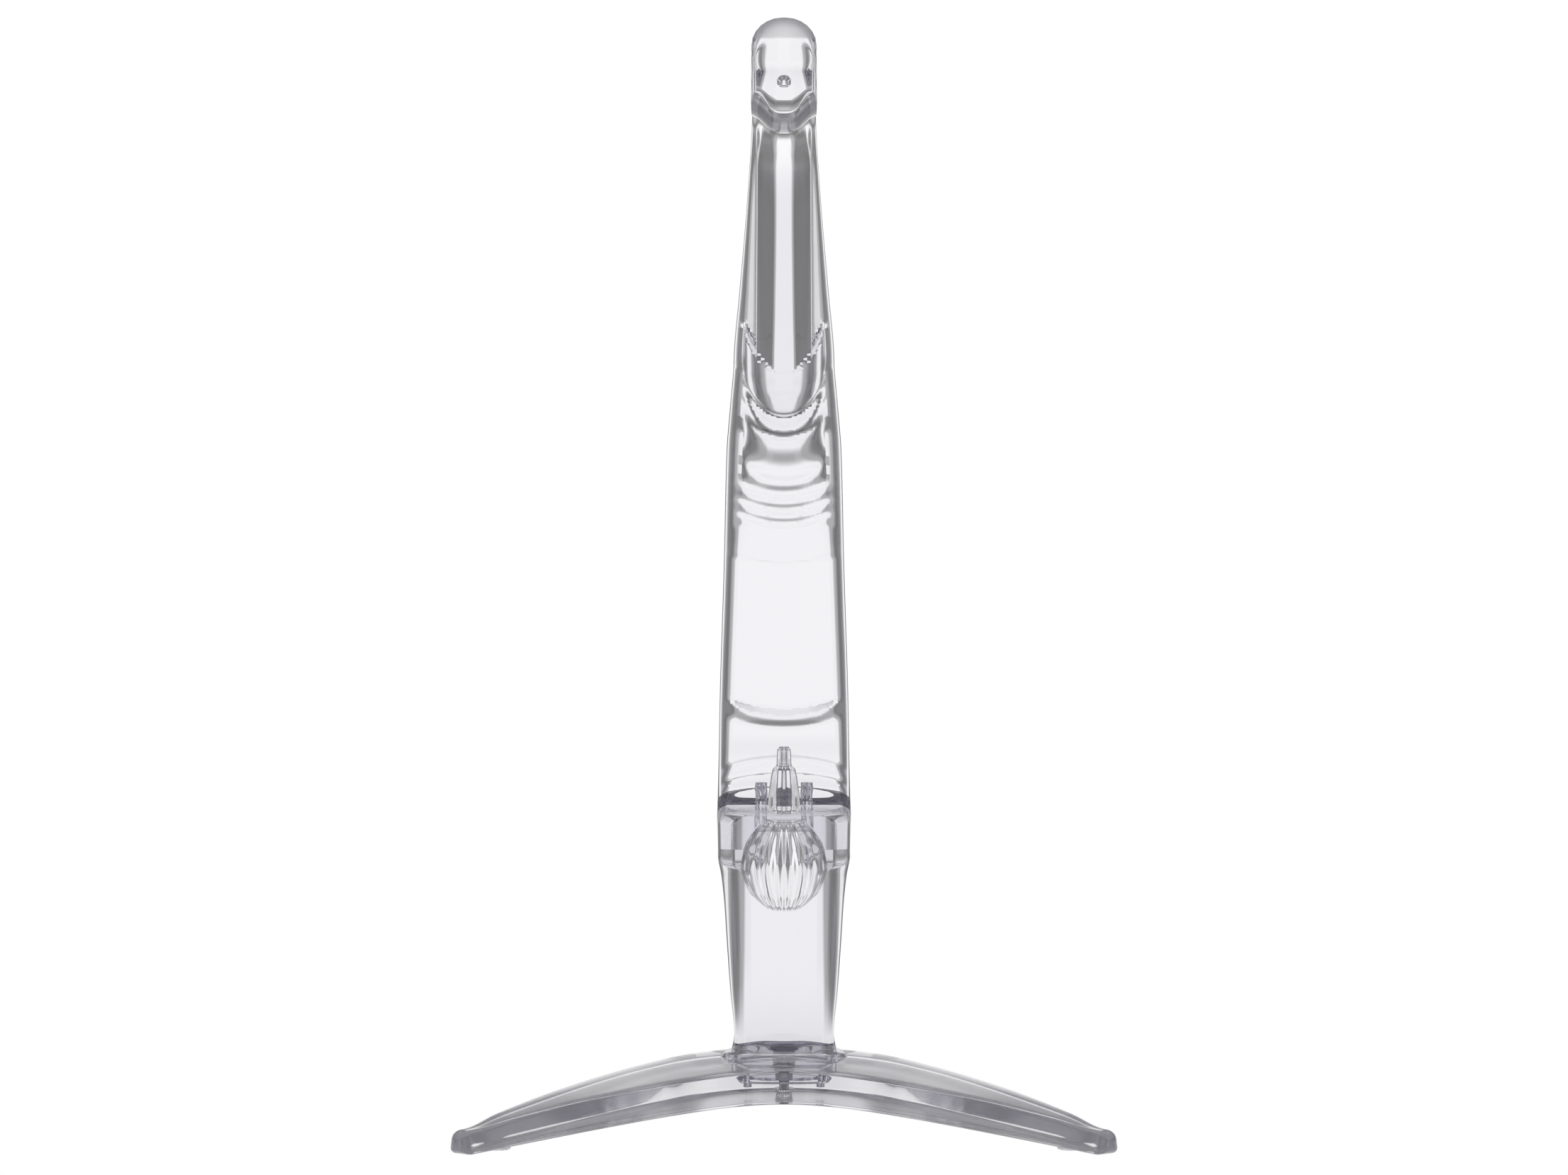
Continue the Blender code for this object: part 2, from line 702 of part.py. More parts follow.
def main():
    clear_scene()
    build_base()
    build_pads()
    build_stem()
    build_spine()
    build_peg()
    build_fin()
    build_dowels_and_pins()
    build_screw()


main()
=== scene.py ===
"""Looks for the clear moulded headphone stand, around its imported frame.

The clear pieces are lofted again here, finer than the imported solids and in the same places, because
clear plastic shows every facet. Shapes are in millimetres, and finish_piece() turns them into metres.
"""

import json
import math

import bmesh
import bpy
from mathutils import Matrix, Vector
from mathutils.geometry import interpolate_bezier


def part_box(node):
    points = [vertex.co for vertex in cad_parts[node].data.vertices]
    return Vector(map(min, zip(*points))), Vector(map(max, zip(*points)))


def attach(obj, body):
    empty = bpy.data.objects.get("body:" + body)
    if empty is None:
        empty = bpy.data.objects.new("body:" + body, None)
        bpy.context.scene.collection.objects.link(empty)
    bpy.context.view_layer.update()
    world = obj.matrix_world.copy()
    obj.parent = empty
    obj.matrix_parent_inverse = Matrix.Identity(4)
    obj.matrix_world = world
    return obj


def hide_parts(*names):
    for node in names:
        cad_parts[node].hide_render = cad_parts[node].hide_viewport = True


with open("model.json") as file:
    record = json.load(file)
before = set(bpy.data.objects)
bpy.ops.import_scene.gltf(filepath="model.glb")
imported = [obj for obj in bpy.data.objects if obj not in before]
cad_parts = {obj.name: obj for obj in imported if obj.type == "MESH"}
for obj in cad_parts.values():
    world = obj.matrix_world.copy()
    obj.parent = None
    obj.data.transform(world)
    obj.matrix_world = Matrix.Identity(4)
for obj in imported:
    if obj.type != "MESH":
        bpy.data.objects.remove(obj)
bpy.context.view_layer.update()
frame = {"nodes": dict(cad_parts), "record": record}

MM = 0.001
GAP = 0.3  # between two pieces that meet
ROUNDNESS = 0.5523  # how far a corner curve's handles reach, which makes a right angle a quarter circle
CORNER_STEPS = 7  # points on each rounded corner of a section
FLAT_RIM = 0.97  # size of the flat rim inside each end, as a share of the end's outline
ROUND_STEPS = 72  # points round each round pad and round the fin

# Camera: its sensor and lens in millimetres, its place in metres.
SENSOR_WIDTH = 36.0
FOCAL_LENGTH = 81.8
CAMERA_REACH = 0.884  # in front of the frame's origin
CAMERA_HEIGHT = 0.133
BOUNCES = 32  # of light inside the clear plastic


def box(node):
    """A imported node's lowest and highest corners, in millimetres."""
    low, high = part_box(node)
    return low / MM, high / MM


SPINE_LOW, SPINE_HIGH = box("spine")
STEM_LOW, STEM_HIGH = box("stem")
BASE_LOW = box("base")[0]
PEG_LOW, PEG_HIGH = box("cable_peg")
FIN_LOW, FIN_HIGH = box("cable_fin")

# Spine: its middle line in side view, from the shelf's front end round to the arm's tip.
SLAB_HALF = 5.5
SHELF_DROP = 8.5  # the shelf's underside at its front end, below the middle line
SHELF_LENGTH = 14.0
BEND_RADIUS = 28.0
SLAB_LENGTH = 42.0
LEAN_RADIUS = 130.0
LEAN_DEGREES = 24.0
RIB_LENGTH = 54.0
SHOULDER_RADIUS = 24.0
ARM_LENGTH = 18.0
LIP_RADIUS = 40.0
LIP_DEGREES = 18.0
LIP_LENGTH = 8.0
BEND_Y = SPINE_HIGH.y - SLAB_HALF - BEND_RADIUS
SHELF_FRONT_Y = BEND_Y - SHELF_LENGTH
SHELF_Z = SPINE_LOW.z + SHELF_DROP
BEND_Z = SHELF_Z + BEND_RADIUS
LEAN_Z = BEND_Z + SLAB_LENGTH
SEAT_Z = STEM_HIGH.z + GAP  # where the spine is cut flat to sit on the stem
SEAT_FRONT_Y = STEM_LOW.y - GAP


# Shapes ----------------------------------------------------------------------------------------

def finish_piece(name, bm, node, material, sharp_degrees=32):
    """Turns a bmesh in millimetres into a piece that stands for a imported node."""
    bmesh.ops.recalc_face_normals(bm, faces=bm.faces)
    bmesh.ops.scale(bm, vec=(MM, MM, MM), verts=bm.verts)
    mesh = bpy.data.meshes.new(name)
    bm.to_mesh(mesh)
    bm.free()
    mesh.shade_smooth()
    mesh.set_sharp_from_angle(angle=math.radians(sharp_degrees))
    mesh.materials.append(material)
    piece = bpy.data.objects.new(name, mesh)
    bpy.context.scene.collection.objects.link(piece)
    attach(piece, "root")
    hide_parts(node)
    return piece


def shrunk(ring, share):
    """The ring drawn in towards its middle, in its own plane."""
    middle = sum(ring, Vector()) / len(ring)
    return [middle.lerp(point, share) for point in ring]


def loft(rings):
    """A closed bmesh through rings that all have the same number of points. A narrow rim inside each
    end keeps the end's own shading flat."""
    rings = [shrunk(rings[0], FLAT_RIM)] + rings + [shrunk(rings[-1], FLAT_RIM)]
    bm = bmesh.new()
    rows = [[bm.verts.new(point) for point in ring] for ring in rings]
    count = len(rows[0])
    for row, following in zip(rows, rows[1:]):
        for i in range(count):
            after = (i + 1) % count
            bm.faces.new((row[i], row[after], following[after], following[i]))
    bm.faces.new(rows[0])
    bm.faces.new(rows[-1])
    return bm


def fitted_cuts(corners):
    """Each corner's cut, made smaller where two cuts would meet on a short edge."""
    places = [Vector(corner[:2]) for corner in corners]
    cuts = [corner[2] for corner in corners]
    count = len(corners)
    room = [
        0.98 * (places[(i + 1) % count] - places[i]).length / (cuts[i] + cuts[(i + 1) % count])
        for i in range(count)
    ]
    return [cuts[i] * min(1.0, room[i - 1], room[i]) for i in range(count)]


def rounded(corners, spans):
    """Points round a polygon of (across, along, cut) corners. Each corner becomes a curve that
    starts and ends on its two edges, that cut away from it. The edge after a corner is divided into
    that corner's number of spans."""
    points = []
    cuts = fitted_cuts(corners)
    for index, (across, along, _) in enumerate(corners):
        corner = Vector((across, along))
        following = (index + 1) % len(corners)
        before = Vector(corners[index - 1][:2]) - corner
        after = Vector(corners[following][:2]) - corner
        start = corner + before.normalized() * cuts[index]
        end = corner + after.normalized() * cuts[index]
        handles = start.lerp(corner, ROUNDNESS), end.lerp(corner, ROUNDNESS)
        points += interpolate_bezier(start, *handles, end, CORNER_STEPS)
        edge_end = corner + after - after.normalized() * cuts[following]
        points += [end.lerp(edge_end, i / spans[index]) for i in range(1, spans[index])]
    return points


def mirrored(half):
    """The whole polygon from the corners of its right half, listed from bottom to top."""
    return half + [(-across, along, corner_cut) for across, along, corner_cut in reversed(half)]


def smooth(value, low, high):
    """Rises softly from 0 at low to 1 at high."""
    t = min(max((value - low) / (high - low), 0.0), 1.0)
    return t * t * (3 - 2 * t)


def slope(stations, places, index, column):
    """Slope of one size at a station: none at the ends and where the size turns back."""
    if index in (0, len(places) - 1):
        return 0.0
    low, here, high = (stations[place][column] for place in places[index - 1 : index + 2])
    before = (here - low) / (places[index] - places[index - 1])
    after = (high - here) / (places[index + 1] - places[index])
    if before * after <= 0:
        return 0.0
    return 2 * before * after / (before + after)


def blend(stations, at):
    """The sizes at a place, on smooth curves that go through every station and never overshoot."""
    places = sorted(stations)
    at = min(max(at, places[0]), places[-1])
    last = next(i for i in range(1, len(places)) if at <= places[i])
    span = places[last] - places[last - 1]
    t = (at - places[last - 1]) / span
    rise = t * t * (3 - 2 * t)
    leave = t * (1 - t) ** 2 * span
    arrive = t * t * (t - 1) * span
    sizes = []
    for column in range(len(stations[places[0]])):
        low, high = (stations[places[i]][column] for i in (last - 1, last))
        bends = leave * slope(stations, places, last - 1, column)
        bends += arrive * slope(stations, places, last, column)
        sizes.append(low + (high - low) * rise + bends)
    return sizes


# Spine -----------------------------------------------------------------------------------------

def arc(radius, degrees):
    """A move round part of a circle: its length and its turn."""
    return abs(radius * math.radians(degrees)), math.radians(degrees)


# Each move along the spine: its length and its turn.
SPINE_MOVES = (
    (SHELF_LENGTH, 0.0),
    arc(BEND_RADIUS, 90),
    (SLAB_LENGTH, 0.0),
    arc(LEAN_RADIUS, LEAN_DEGREES),
    (RIB_LENGTH, 0.0),
    arc(SHOULDER_RADIUS, 90 - LEAN_DEGREES),
    (ARM_LENGTH, 0.0),
    arc(LIP_RADIUS, -LIP_DEGREES),
    (LIP_LENGTH, 0.0),
)


def reach(moves):
    """How far along the spine's middle line the first few moves go."""
    return sum(length for length, _ in SPINE_MOVES[:moves])


SHELF_END, BEND_END, SLAB_END, LEAN_END, RIB_END, SHOULDER_END = (reach(n) for n in range(1, 7))
SPINE_END = reach(len(SPINE_MOVES))


def spine_line(distance):
    """The middle line's point and its direction towards the inside of its C."""
    y, z, heading = SHELF_FRONT_Y, SHELF_Z, 0.0
    for length, turn in SPINE_MOVES:
        part = min(distance, length)
        bend = turn * part / length
        if turn:
            radius = length / turn
            y += radius * (math.sin(heading + bend) - math.sin(heading))
            z += radius * (math.cos(heading) - math.cos(heading + bend))
        else:
            y += part * math.cos(heading)
            z += part * math.sin(heading)
        heading += bend
        distance -= part
        if distance <= 0:
            break
    return Vector((0, y, z)), Vector((0, -math.sin(heading), math.cos(heading)))


def at_height(z):
    """The distance along the spine where its middle line passes height z, from the bend to the rib."""
    if z < BEND_Z:
        return BEND_END - BEND_RADIUS * math.asin((BEND_Z - z) / BEND_RADIUS)
    if z < LEAN_Z:
        return BEND_END + z - BEND_Z
    return SLAB_END + LEAN_RADIUS * math.asin((z - LEAN_Z) / LEAN_RADIUS)


# Place along the spine: width, back face, front of the side flanges, front of the rib, half the
# rib's width at its foot, half its front face's width, cut of the back corners and of the flanges'.
SPINE_SECTIONS = {
    0: (24.6, 8.5, 5.5, 5.5, 8.0, 5.0, 2.0, 3.0),
    SHELF_END: (33.6, 8.0, 5.5, 5.5, 12.0, 6.0, 2.0, 3.0),
    SHELF_END + 12: (34.6, 5.5, 5.5, 5.5, 12.0, 6.0, 1.6, 3.6),
    BEND_END: (34.0, 5.5, 5.5, 5.5, 12.0, 6.0, 1.5, 3.8),
    SLAB_END: (31.6, 5.5, 5.5, 5.5, 11.0, 5.0, 1.5, 4.0),
    LEAN_END - 26: (30.2, 5.5, 5.0, 5.0, 9.0, 4.0, 1.5, 4.2),
    LEAN_END - 14: (28.3, 5.5, 3.6, 3.6, 7.6, 3.3, 1.5, 3.8),
    LEAN_END - 3: (26.4, 5.5, 2.0, 2.0, 7.3, 2.7, 1.5, 3.4),
    LEAN_END: (26.2, 5.5, 1.6, 12.8, 7.3, 2.7, 1.5, 3.0),
    LEAN_END + 18: (23.0, 5.6, 1.4, 13.2, 7.2, 2.4, 1.5, 2.2),
    RIB_END - 10: (18.6, 6.0, 1.8, 13.2, 7.0, 2.1, 1.8, 1.2),
    RIB_END + 8: (16.4, 7.7, 3.6, 11.6, 6.9, 2.1, 4.2, 0.9),
    RIB_END + 16.4: (16.0, 13.2, 4.6, 9.6, 6.9, 2.4, 5.6, 0.8),
    SHOULDER_END: (15.7, 10.6, 5.4, 9.0, 6.9, 2.6, 7.7, 0.8),
    SPINE_END: (15.7, 10.6, 12.2, 17.6, 6.9, 2.8, 7.7, 0.8),
}
SPINE_SPANS = (2, 4, 4, 4, 24, 4, 4, 4, 2, 24)  # most on the rib's front face and on the back
RIB_WALL = 0.72  # share of the rib's height that is upright wall, below its sloped edge
TIP_ROUND = 5.8  # how far back from the arm's end its top starts to round off
TIP_DROP = 8.6  # how far the top comes down there
TIP_INSET = 1.1  # how far its other faces come in there
FLANGE_TAPER = 0.25  # how far a flange's front falls back for each millimetre towards its edge
RING_STEP = 0.5  # between one ring of the spine and the next

# The rib's end comes down to the slab in curved steps. One step crosses the slab's foot, and low
# ridges cross the bend.
# Height at the middle: rise, how much higher the step is at its ends, half its width.
STEPS = {
    73.0: (0.0, -3.0, 15.5),
    75.5: (1.7, -3.0, 15.5),
    77.5: (0.1, -3.2, 15.5),
    80.0: (1.7, -3.2, 15.5),
    82.0: (0.0, -3.4, 15.5),
    85.5: (1.5, -3.4, 15.5),
    87.5: (0.0, -3.4, 15.5),
    95.4: (0.0, 3.0, 14.5),
    99.4: (2.6, 3.0, 14.5),
    101.4: (0.0, 3.0, 14.5),
    139.0: (0.0, 2.0, 14.0),
    140.2: (0.6, 2.0, 14.0),
    148.8: (0.7, 2.0, 13.0),
    150.0: (0.1, 2.6, 11.6),
    152.2: (1.2, 2.8, 11.6),
    153.8: (0.2, 2.8, 11.6),
    156.2: (1.4, 2.8, 11.6),
    158.2: (0.3, 2.8, 11.6),
    161.4: (1.9, 3.2, 11.2),
    164.0: (1.2, 3.4, 10.8),
    173.4: (5.4, 4.0, 10.6),
    174.2: (5.0, 4.6, 10.6),
    177.0: (7.2, 5.4, 10.6),
    179.6: (6.0, 7.0, 10.6),
    182.0: (9.4, 8.4, 10.6),
    187.0: (11.2, 9.0, 10.6),
    193.2: (11.6, 9.0, 10.6),
    195.0: (0.0, 9.0, 10.6),
}
STEP_STATIONS = {at_height(z): sizes for z, sizes in STEPS.items()}


def relief(distance, across):
    """How far the steps stand out of the slab's front there."""
    _, bow, half_width = blend(STEP_STATIONS, distance)
    off = across / half_width
    if abs(off) >= 1:
        return 0.0
    return math.sqrt(1 - off ** 4) * blend(STEP_STATIONS, distance - bow * off ** 2)[0]


def spine_corners(distance, inset, top_inset):
    """The right half of the section's corners, from its back to its rib: across, inwards and cut."""
    width, back, flange, front, foot, face, back_cut, flange_cut = blend(SPINE_SECTIONS, distance)
    side = width / 2 - inset
    foot = min(foot, width / 2 - flange_cut - 0.4)
    taper = min(front - flange, FLANGE_TAPER * (width / 2 - foot))
    on_arm = smooth(distance, RIB_END, SHOULDER_END)
    wall = RIB_WALL * (1 - on_arm) * (front - flange - taper)
    rib_foot = Vector((foot - inset, flange + taper - inset + 0.01))
    rib_front = Vector((face, front - inset + 0.03))
    wall_top = rib_foot + Vector((-0.2, wall + 0.01))
    wall_top = wall_top.lerp(rib_front, 0.5 * on_arm)
    squarer = 1 - 0.62 * top_inset / TIP_DROP
    return [
        (side, -back + inset + top_inset, back_cut * squarer),
        (side, flange - inset, flange_cut),
        (*rib_foot, 0.3 + 1.5 * on_arm),
        (*wall_top, 0.3 + 0.6 * on_arm),
        (*rib_front, 0.6 + 1.4 * on_arm),
    ]


def spine_ring(distance, inset=0.0, top_inset=0.0):
    """The spine's outline there, with the steps raised on the front of its slab and the seat for the
    stem kept free."""
    corners = spine_corners(distance, inset, top_inset)
    flange = corners[1][1]
    place, inwards = spine_line(distance)
    ring = []
    for p in rounded(mirrored(corners), SPINE_SPANS):
        lift = relief(distance, p.x)
        lifted = p.y + lift * smooth(p.y, 0.0, flange - 0.2)
        if p.y > flange:
            lifted = max(p.y, flange + lift)
        point = place + Vector((p.x, 0, 0)) + inwards * lifted
        if point.y > SEAT_FRONT_Y:
            point.z = max(point.z, SEAT_Z)
        ring.append(point)
    return ring


# The mark that the moulding gate leaves in the middle of the arm's end: radius and depth.
GATE_RINGS = ((1.7, 0.0), (1.4, -0.25), (1.1, 0.1), (0.8, 0.45), (0.5, 0.25), (0.25, 0.2))
GATE_BELOW_TOP = 17.0  # its middle, below the spine's highest point


def gate_mark(rim):
    """Rings that run from the arm's flat end in to the small round mark near its middle."""
    opposite = rim[len(rim) // 2]
    normal = (rim[0] - opposite).cross(rim[len(rim) // 4] - opposite).normalized()
    if normal.y < 0:
        normal.negate()
    down = Vector((0, normal.z, -normal.y))
    highest = max(rim, key=lambda point: point.z)
    centre = Vector((0, highest.y, highest.z)) + down * (GATE_BELOW_TOP - SPINE_HIGH.z + highest.z)
    rings = []
    for radius, depth in GATE_RINGS:
        ring = []
        for point in rim:
            outwards = (point - centre).normalized()
            ring.append(centre + outwards * radius + normal * depth)
        rings.append(ring)
    return rings


def build_spine(material):
    """One piece from the shelf to the arm's tip, with its end rounded off and its gate mark."""
    body_end = SPINE_END - TIP_ROUND
    count = round(body_end / RING_STEP)
    rings = [spine_ring(body_end * i / count) for i in range(count)]
    for degrees in range(0, 91, 10):
        angle = math.radians(degrees)
        left = 1 - math.cos(angle)
        distance = body_end + TIP_ROUND * math.sin(angle)
        rings.append(spine_ring(distance, TIP_INSET * left, TIP_DROP * left))
    rings.append(shrunk(rings[-1], FLAT_RIM))
    rings += gate_mark(rings[-1])
    finish_piece("spine_body", loft(rings), "spine", material)


# Stem ------------------------------------------------------------------------------------------

STEM_Y = (STEM_LOW.y + STEM_HIGH.y) / 2
STEM_DEPTH = STEM_HIGH.y - STEM_LOW.y
BLOCK_WIDTH = 33.0
BLOCK_CORNER = 4.0
BLOCK_BEVEL = 1.0
BLOCK_EDGE = 0.6  # how much the block's underside is rounded off
WINDOW_HALF = 8.8  # half the width of the stem's flat front, at every height
BLOCK_RISE = 7.4  # from the stem's underside to its block's top
BLOCK_TOP = STEM_LOW.z + BLOCK_RISE
FOOT_FLARE = 1.2  # how far the stem's front comes forward at its foot, below a shallow arch
FOOT_ARCH = 7.0  # how high the arch rises in the middle
FOOT_FADE = 5.0  # over what height the flare dies away below the arch
ARCH_HALF = 17.0
STEM_FOOT = BLOCK_TOP + 0.6
STEM_RINGS = 110

# Height: width of the stem there.
STEM_WIDTHS = {
    BLOCK_TOP: (27.4,),
    17.0: (25.9,),
    28.0: (27.9,),
    43.0: (30.1,),
    50.0: (31.0,),
    57.6: (32.6,),
    64.0: (34.7,),
    SEAT_Z: (34.7,),
}
STEM_SPANS = (6, 16, 6, 16)


def stem_ring(z):
    """The post's outline at z, flat in front and round at the sides, with the flare at its foot."""
    width = blend(STEM_WIDTHS, z)[0]
    round_off = min(width / 2 - WINDOW_HALF, STEM_DEPTH / 2 - 0.1)
    half = [
        (width / 2, -STEM_DEPTH / 2, round_off),
        (width / 2, STEM_DEPTH / 2, round_off),
    ]
    ring = []
    for p in rounded(mirrored(half), STEM_SPANS):
        arch = BLOCK_TOP + FOOT_ARCH * (1 - (p.x / ARCH_HALF) ** 2)
        flare = FOOT_FLARE * (1 - smooth(z, arch - FOOT_FADE, arch)) if p.y < 0 else 0.0
        ring.append(Vector((p.x, STEM_Y + p.y - flare, z)))
    return ring


def block_ring(z, shrink):
    half = [
        (BLOCK_WIDTH / 2 - shrink, -STEM_DEPTH / 2 + shrink, BLOCK_CORNER),
        (BLOCK_WIDTH / 2 - shrink, STEM_DEPTH / 2 - shrink, BLOCK_CORNER),
    ]
    return [Vector((p.x, STEM_Y + p.y, z)) for p in rounded(mirrored(half), STEM_SPANS)]


def build_stem(material):
    """The block that sits in the base's middle, its bevelled top, and the post up to its seat."""
    rings = [
        block_ring(STEM_LOW.z, BLOCK_EDGE),
        block_ring(STEM_LOW.z + BLOCK_EDGE, 0.0),
        block_ring(BLOCK_TOP - BLOCK_BEVEL, 0.0),
        block_ring(BLOCK_TOP, BLOCK_BEVEL),
    ]
    for i in range(STEM_RINGS + 1):
        rings.append(stem_ring(STEM_FOOT + (STEM_HIGH.z - STEM_FOOT) * i / STEM_RINGS))
    finish_piece("stem_body", loft(rings), "stem", material)


# Base ------------------------------------------------------------------------------------------

LEG_TIP_X = 71.8  # where the rounding of each leg's tip starts
TIP_NOSE = 3.8  # how far it then goes on
INNER_EDGE_Y = 25.4
LEG_SPLAY = 1.5  # how far a leg runs forward for each millimetre that it runs sideways
LEG_BEND = 22.0  # how far from the middle the legs become straight
PAD_STAND = BASE_LOW.z  # the base's underside above the floor

# Distance from the middle: depth of the section, height of its front edge, height of its back edge.
LEG_SECTIONS = {
    0: (30.0, 9.6, 12.2),
    22: (22.0, 9.4, 11.4),
    45: (14.0, 8.8, 10.2),
    62: (9.2, 7.4, 8.2),
    LEG_TIP_X: (6.4, 6.2, 6.6),
}
LEG_SPANS = (12, 4, 12, 4)
LEG_RINGS = 160


def inner_edge(x):
    """The point of the base's inner edge at x, and the direction across the leg there."""
    root = math.hypot(x, LEG_BEND)
    place = Vector((x, INNER_EDGE_Y - LEG_SPLAY * (root - LEG_BEND), 0))
    return place, Vector((LEG_SPLAY * x / root, 1, 0)).normalized()


def leg_section(x, shrink=1.0):
    """The base's outline across the leg at x, shrunk about its middle."""
    depth, front, back = blend(LEG_SECTIONS, abs(x))
    middle = (PAD_STAND + front) / 2
    outline = rounded(
        [
            (0, PAD_STAND, 1.2),
            (depth, PAD_STAND, 1.2),
            (depth - 0.8, back, 1.8),
            (1.2, front, 1.2),
        ],
        LEG_SPANS,
    )
    place, across = inner_edge(x)
    return [
        place
        + across * (depth / 2 + (point.x - depth / 2) * shrink)
        + Vector((0, 0, middle + (point.y - middle) * shrink))
        for point in outline
    ]


def nose(side):
    """Rings that round off one leg's tip."""
    across = inner_edge(side * LEG_TIP_X)[1]
    forward = Vector((side * across.y, -abs(across.x), 0))
    rings = []
    for degrees in range(8, 85, 8):
        angle = math.radians(degrees)
        offset = forward * TIP_NOSE * math.sin(angle)
        rings.append([point + offset for point in leg_section(side * LEG_TIP_X, math.cos(angle))])
    return rings


def build_base(material):
    """One boomerang from the left tip to the right one."""
    rings = list(reversed(nose(-1)))
    for i in range(LEG_RINGS + 1):
        rings.append(leg_section(LEG_TIP_X * (2 * i / LEG_RINGS - 1)))
    rings += nose(1)
    finish_piece("base_body", loft(rings), "base", material)


# Peg and fin -----------------------------------------------------------------------------------

# Share of the peg's height: half its width, and how far its nose stands out of its back face.
PEG_SECTIONS = {
    0.0: (4.6, 15.0),
    0.06: (6.2, 18.0),
    0.2: (9.0, 20.4),
    0.46: (10.9, 21.2),
    0.7: (9.8, 20.6),
    0.88: (7.4, 18.2),
    1.0: (5.2, 14.5),
}
PEG_FLUTES = 9
PEG_FLUTE_DEPTH = 0.03  # as a share of the peg's width
PEG_BULGE = 0.7  # below 1 the nose is blunter than a circle
PEG_RINGS = 72
PEG_FRONT_STEPS = 120
PEG_BACK_STEPS = 48
HOLLOW_DEPTH = 8.5  # of the cone moulded into the peg's back
HOLLOW_HALF_WIDTH = 9.4
HOLLOW_HALF_HEIGHT = 9.6


def peg_back(x, z):
    """How far the peg's back is hollowed at that place."""
    middle = (PEG_LOW.z + PEG_HIGH.z) / 2
    off = math.hypot(x / HOLLOW_HALF_WIDTH, (z - middle) / HOLLOW_HALF_HEIGHT)
    return HOLLOW_DEPTH * max(0.0, 1 - off)


def peg_ring(share):
    """The peg's outline at that share of its height: its fluted nose, then its hollow back."""
    back = SHELF_FRONT_Y - GAP
    z = PEG_LOW.z + (PEG_HIGH.z - PEG_LOW.z) * share
    width, depth = blend(PEG_SECTIONS, share)
    ring = []
    for step in range(PEG_FRONT_STEPS + 1):
        angle = math.pi * (step / PEG_FRONT_STEPS - 0.5)
        flute = 1 + PEG_FLUTE_DEPTH * math.cos(2 * PEG_FLUTES * angle) * math.cos(angle)
        reach_out = depth * flute * math.cos(angle) ** PEG_BULGE
        ring.append(Vector((width * flute * math.sin(angle), back - reach_out, z)))
    for step in range(1, PEG_BACK_STEPS):
        across = width * (1 - 2 * step / PEG_BACK_STEPS)
        ring.append(Vector((across, back - peg_back(across, z), z)))
    return ring


def build_peg(material):
    rings = [peg_ring(i / PEG_RINGS) for i in range(PEG_RINGS + 1)]
    finish_piece("peg_body", loft(rings), "cable_peg", material)


# Share of the fin's height: half its width and half its depth.
FIN_SECTIONS = {
    0.0: (3.4, 4.0),
    0.12: (4.2, 4.6),
    0.45: (3.6, 4.2),
    0.66: (2.9, 3.6),
    0.72: (2.0, 3.0),
    0.94: (1.8, 2.6),
    1.0: (1.1, 1.6),
}
FIN_FLUTES = 6
FIN_FLUTE_DEPTH = 0.08  # as a share of the fin's width
FIN_RINGS = 60


def fin_ring(share):
    foot = SHELF_Z + SLAB_HALF + GAP
    z = foot + (FIN_HIGH.z - foot) * share
    middle = (FIN_LOW.y + FIN_HIGH.y) / 2
    width, depth = blend(FIN_SECTIONS, share)
    ring = []
    for step in range(ROUND_STEPS):
        angle = math.tau * step / ROUND_STEPS
        flute = 1 + FIN_FLUTE_DEPTH * math.cos(FIN_FLUTES * angle)
        across = width * flute * math.sin(angle)
        ring.append(Vector((across, middle + depth * flute * math.cos(angle), z)))
    return ring


def build_fin(material):
    rings = [fin_ring(i / FIN_RINGS) for i in range(FIN_RINGS + 1)]
    finish_piece("fin_body", loft(rings), "cable_fin", material)


# Small pieces ----------------------------------------------------------------------------------

SMALL_NODES = (
    "spine_dowel_left",
    "spine_dowel_right",
    "locating_pin_left",
    "locating_pin_right",
    "base_screw",
    "screw_washer",
    "threaded_insert",
)
PAD_NODES = ("tip_pad_left", "tip_pad_right", "heel_pad_left", "heel_pad_right")
SLOTS = {part["node"]: part["material_slot"] for part in frame["record"]["subparts"]}
SAME_POINT = 0.000001  # metres
PAD_RIM = 0.12  # how much the pad's upper rim is rounded off
PAD_GLUE = 0.04  # room between a pad and the base


def build_small(node, material):
    """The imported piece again, with its facets joined and shaded smooth."""
    packed = frame["nodes"][node]
    bm = bmesh.new()
    bm.from_mesh(packed.data)
    bm.transform(packed.matrix_world)
    bmesh.ops.remove_doubles(bm, verts=bm.verts, dist=SAME_POINT)
    bmesh.ops.scale(bm, vec=(1 / MM, 1 / MM, 1 / MM), verts=bm.verts)
    finish_piece(node + "_body", bm, node, material)


def build_pad(node, material):
    """A thin round pad stuck under the base, with a softened rim."""
    low, high = box(node)
    middle = (low + high) / 2
    radius = (high.x - low.x) / 2
    top = BASE_LOW.z - PAD_GLUE
    rings = []
    for z, inset in ((0.0, 0.5), (0.06, 0.22), (0.22, 0.0), (top - PAD_RIM, 0.0), (top, PAD_RIM)):
        ring = []
        for step in range(ROUND_STEPS):
            angle = math.tau * step / ROUND_STEPS
            outwards = Vector((math.cos(angle), math.sin(angle), 0))
            ring.append(Vector((middle.x, middle.y, z)) + outwards * (radius - inset))
        rings.append(ring)
    finish_piece(node + "_body", loft(rings), node, material)


# Materials -------------------------------------------------------------------------------------

